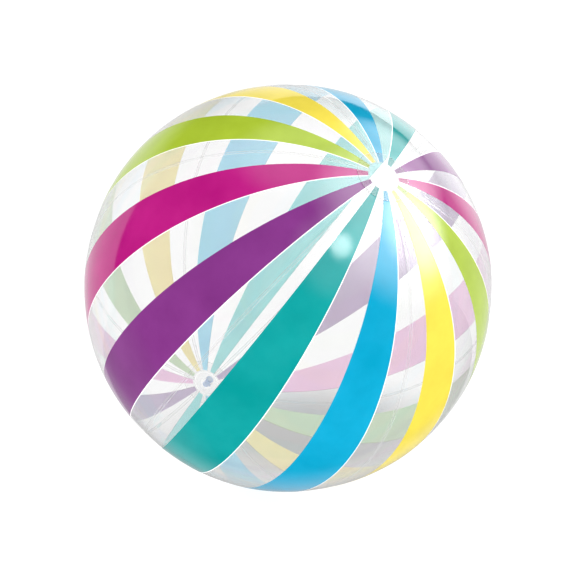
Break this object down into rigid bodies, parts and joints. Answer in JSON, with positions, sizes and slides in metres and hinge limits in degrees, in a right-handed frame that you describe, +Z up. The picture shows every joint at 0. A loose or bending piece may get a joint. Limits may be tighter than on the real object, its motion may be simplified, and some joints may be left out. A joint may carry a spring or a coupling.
{
  "type": "inflatable beach ball",
  "caption": "Large clear inflatable ball of lapped vinyl panels with printed colour stripes, a round patch at each pole and a push-in valve with a tethered plug.",
  "frame": {"origin": "centre of the inflated ball", "axes": "+Z up as the ball lies on a floor, -Y towards the side that shows the plain pole; the pole axis lies in the YZ plane, its plain pole 40 degrees above horizontal at the front and its valve pole 40 degrees below horizontal at the back"},
  "size_m": [0.6772, 0.679, 0.679],
  "materials": {
    "clear_film": "gloss",
    "ink_magenta": "gloss",
    "ink_purple": "gloss",
    "ink_teal": "gloss",
    "ink_blue": "gloss",
    "ink_yellow": "gloss",
    "ink_green": "gloss",
    "valve_vinyl": "satin",
    "flap_vinyl": "satin"
  },
  "bodies": {
    "ball": {"panel_1": "clear_film", "panel_2": "clear_film", "panel_3": "clear_film", "panel_4": "clear_film", "panel_5": "clear_film", "panel_6": "clear_film", "pole_patch_plain": "clear_film", "pole_patch_valve": "clear_film", "valve_flange": "valve_vinyl", "valve_web": "valve_vinyl"},
    "valve": {"valve_stem": "valve_vinyl"},
    "plug": {"valve_plug": "valve_vinyl", "valve_strap": "valve_vinyl"},
    "flap": {"valve_flap": "flap_vinyl"}
  },
  "joints": [
    {"name": "valve_slide", "type": "slide", "parent": "ball", "child": "valve", "axis": [0, 0.766, -0.6428], "range_m": [0, 0.015], "deforming": ["valve_web"]},
    {"name": "plug_hinge", "type": "hinge", "parent": "valve", "child": "plug", "pos_m": [0.00684, 0.26023, -0.22379], "axis": [-0.5195, -0.5492, -0.6546], "range_deg": [0, 165], "deforming": ["valve_strap"]},
    {"name": "flap_hinge", "type": "hinge", "parent": "valve", "child": "flap", "pos_m": [-0.00513, 0.2502, -0.20588], "axis": [-0.5195, -0.5492, -0.6546], "range_deg": [0, 75], "stiffness_Nm_per_rad": 0.0001}
  ]
}
